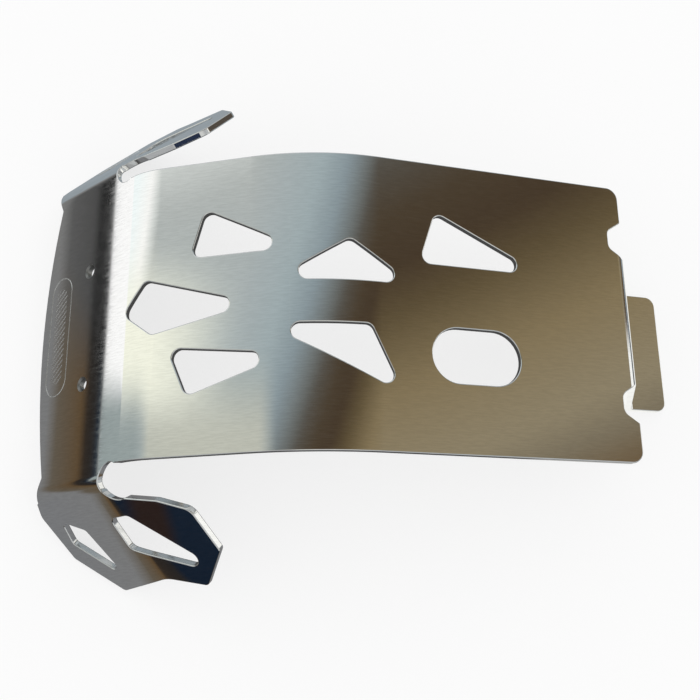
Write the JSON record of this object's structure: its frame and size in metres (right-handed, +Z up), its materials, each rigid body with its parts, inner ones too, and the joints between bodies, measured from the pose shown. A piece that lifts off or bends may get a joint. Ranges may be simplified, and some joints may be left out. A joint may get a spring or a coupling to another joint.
{
  "type": "engine guard",
  "caption": "Folded aluminium skid plate for a motorbike engine, with slanted side wings, lightening cut-outs, a drain opening and a rear hook.",
  "frame": {"origin": "middle of the outline at the floor, with the guard lying outer face up on its wings and its rear tab", "axes": "+X towards the rear hook, +Y across the guard, +Z up out of the outer face"},
  "size_m": [0.4876, 0.3658, 0.1396],
  "materials": {
    "sheet": "bright, finely brushed along the length"
  },
  "bodies": {
    "root": {"guard_plate": "sheet"}
  },
  "joints": []
}
